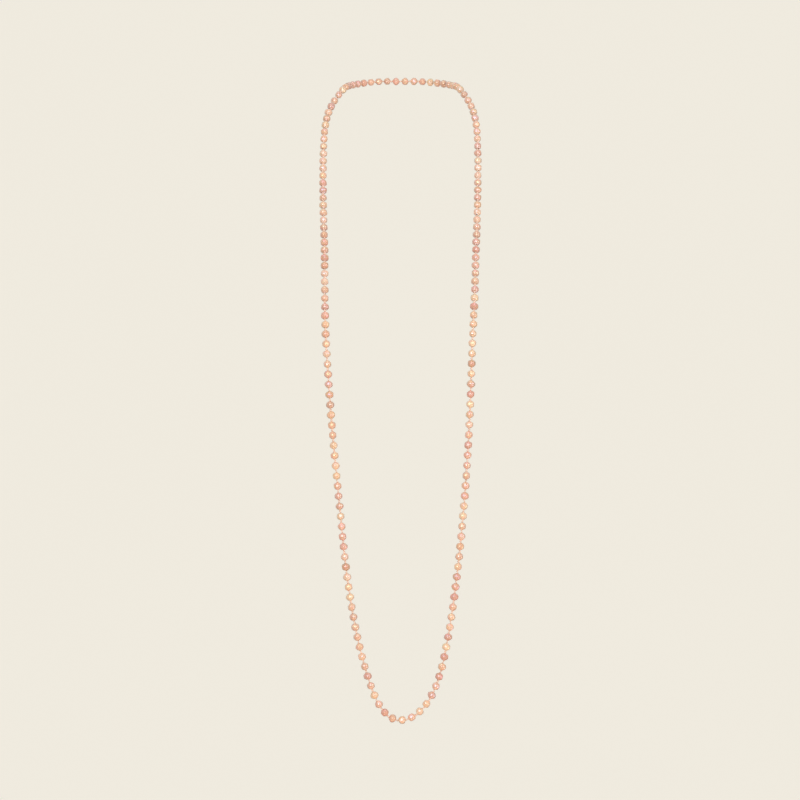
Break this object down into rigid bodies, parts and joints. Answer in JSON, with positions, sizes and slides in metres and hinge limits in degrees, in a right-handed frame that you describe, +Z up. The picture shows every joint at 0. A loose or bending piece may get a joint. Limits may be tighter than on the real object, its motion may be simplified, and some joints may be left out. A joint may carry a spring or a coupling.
{
  "type": "beaded necklace",
  "caption": "Very long endless strand of faceted peach glass beads, hand-knotted on silk, in its worn form.",
  "frame": {"origin": "the point of the nape that the strand rests on, on the inner side of the strand where its two halves meet", "axes": "+Z up; the wearer faces -Y; +X is the right-hand side of the front view; the strand hangs down along -Z"},
  "size_m": [0.1628, 0.2564, 0.6497],
  "materials": {
    "peach_glass": "opaque peach glass with a pearly, slightly iridescent lustre, fire-polished facets"
  },
  "bodies": {
    "root": {"left_string": "peach_glass", "right_string": "peach_glass"}
  },
  "joints": []
}
